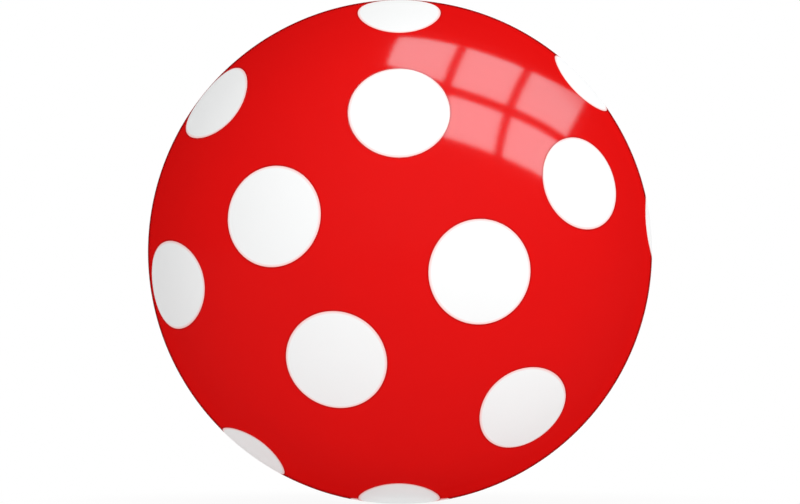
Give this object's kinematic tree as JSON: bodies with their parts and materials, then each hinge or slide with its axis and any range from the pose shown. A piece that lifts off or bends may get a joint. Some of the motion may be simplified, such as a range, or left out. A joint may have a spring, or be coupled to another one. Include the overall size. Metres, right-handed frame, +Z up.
{
  "type": "dodgeball",
  "caption": "Inflated rubber ball with a red cover in two halves, flush white dots, a thread-wound bladder and a self-sealing needle valve at the back.",
  "frame": {"origin": "centre of the ball", "axes": "-Y faces the picture's camera, +Y runs out through the needle valve, +Z is up and -Z points at the floor under the ball"},
  "size_m": [0.216, 0.2161, 0.216],
  "materials": {
    "red_rubber": "smooth, high gloss",
    "white_rubber": "smooth, high gloss",
    "ply_rubber": "matt, dusted",
    "nylon_thread": "wound thread in latex",
    "butyl_rubber": "matt",
    "patch_rubber": "matt, rubberised cloth",
    "valve_rubber": "satin moulded rubber",
    "plug_rubber": "satin moulded rubber"
  },
  "bodies": {
    "root": {"front_cover": "red_rubber", "rear_cover": "red_rubber", "inner_ply": "ply_rubber", "winding": "nylon_thread", "bladder": "butyl_rubber", "valve_patch": "patch_rubber", "valve_housing": "valve_rubber", "valve_plug": "plug_rubber", "dot_01": "white_rubber", "dot_02": "white_rubber", "dot_03": "white_rubber", "dot_04": "white_rubber", "dot_05": "white_rubber", "dot_06": "white_rubber", "dot_07": "white_rubber", "dot_08": "white_rubber", "dot_09": "white_rubber", "dot_10": "white_rubber", "dot_11": "white_rubber", "dot_12": "white_rubber", "dot_13": "white_rubber", "dot_14": "white_rubber", "dot_15": "white_rubber", "dot_16": "white_rubber", "dot_17": "white_rubber", "dot_18": "white_rubber", "dot_19": "white_rubber", "dot_20": "white_rubber", "dot_21": "white_rubber", "dot_22": "white_rubber", "dot_23": "white_rubber", "dot_24": "white_rubber", "dot_25": "white_rubber", "dot_26": "white_rubber"}
  },
  "joints": []
}
